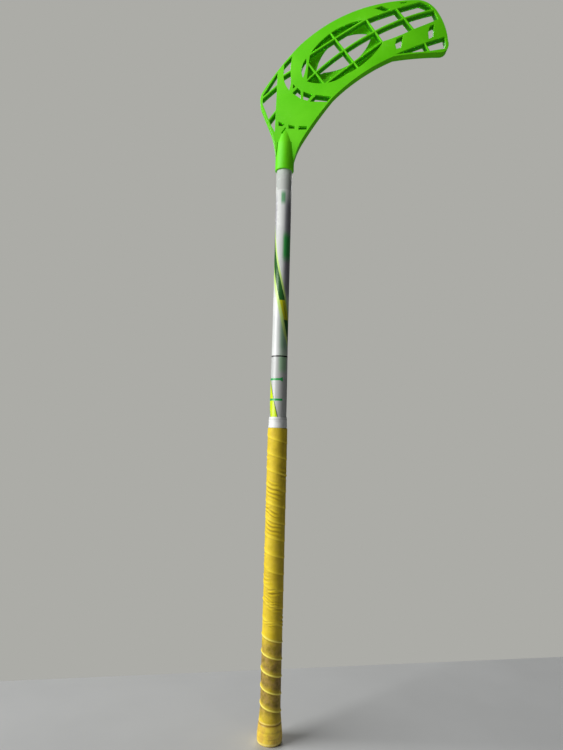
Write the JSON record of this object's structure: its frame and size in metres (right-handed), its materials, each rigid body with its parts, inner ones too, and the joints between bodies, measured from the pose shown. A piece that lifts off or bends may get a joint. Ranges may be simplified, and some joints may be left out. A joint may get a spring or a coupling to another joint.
{
  "type": "floorball stick",
  "caption": "Floorball stick with a round composite shaft, a wound grip with a flared butt knob, and a hooked moulded lattice blade screwed on over the shaft's end.",
  "frame": {"origin": "centre of the flat end of the butt knob", "axes": "+Z along the shaft from the butt to the blade, +X from the shaft towards the toe, -Y the convex face of the blade"},
  "size_m": [0.2857, 0.0346, 1.0811],
  "materials": {
    "blade_plastic": "satin",
    "shaft_lacquer": "gloss",
    "grip_tape": "matte",
    "knob_rubber": "satin",
    "white_tape": "satin",
    "screw_steel": "brushed"
  },
  "bodies": {
    "root": {"butt_knob": "knob_rubber", "shaft_tube": "shaft_lacquer", "grip_wrap": "grip_tape", "finishing_tape": "white_tape", "blade": "blade_plastic", "blade_screw": "screw_steel"}
  },
  "joints": []
}
